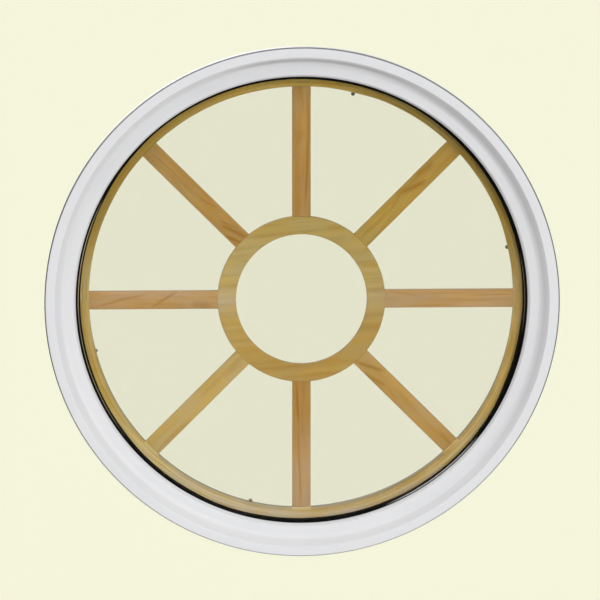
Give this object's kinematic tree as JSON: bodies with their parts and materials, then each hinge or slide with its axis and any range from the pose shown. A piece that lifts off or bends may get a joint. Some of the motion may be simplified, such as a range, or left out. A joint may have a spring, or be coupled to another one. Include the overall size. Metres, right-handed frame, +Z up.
{
  "type": "round fixed window",
  "caption": "Round fixed window with a white moulded frame, clear insulated glass and a pine grille of spokes around a centre ring.",
  "frame": {"origin": "centre of the window in the plane of the wall's outer face, where the moulding's back meets the wall", "axes": "+Y into the room along the window's axis, so the white moulding faces -Y; +Z up; +X to the right as seen from outside"},
  "size_m": [0.724, 0.1339, 0.724],
  "materials": {
    "white_plastic": "satin",
    "black_rubber": "satin",
    "black_sealant": "matte",
    "clear_glass": "polished",
    "spacer_metal": "satin",
    "grille_pine": "satin",
    "jamb_pine": "satin",
    "dowel_wood": "matte",
    "pin_metal": "satin",
    "brad_steel": "satin"
  },
  "bodies": {
    "root": {"exterior_frame": "white_plastic", "exterior_gasket": "black_rubber", "outer_pane": "clear_glass", "spacer_bar": "spacer_metal", "edge_sealant": "black_sealant", "inner_pane": "clear_glass", "setting_block_left": "black_rubber", "setting_block_right": "black_rubber", "glazing_tape": "black_rubber", "glazing_bead": "jamb_pine", "bead_brads": "brad_steel", "jamb_extension": "jamb_pine", "grille_rim": "grille_pine", "grille_hub": "grille_pine", "spoke_right": "grille_pine", "spoke_upper_right": "grille_pine", "spoke_top": "grille_pine", "spoke_upper_left": "grille_pine", "spoke_left": "grille_pine", "spoke_lower_left": "grille_pine", "spoke_bottom": "grille_pine", "spoke_lower_right": "grille_pine", "hub_dowels": "dowel_wood", "rim_dowels": "dowel_wood", "grille_pins": "pin_metal"}
  },
  "joints": []
}
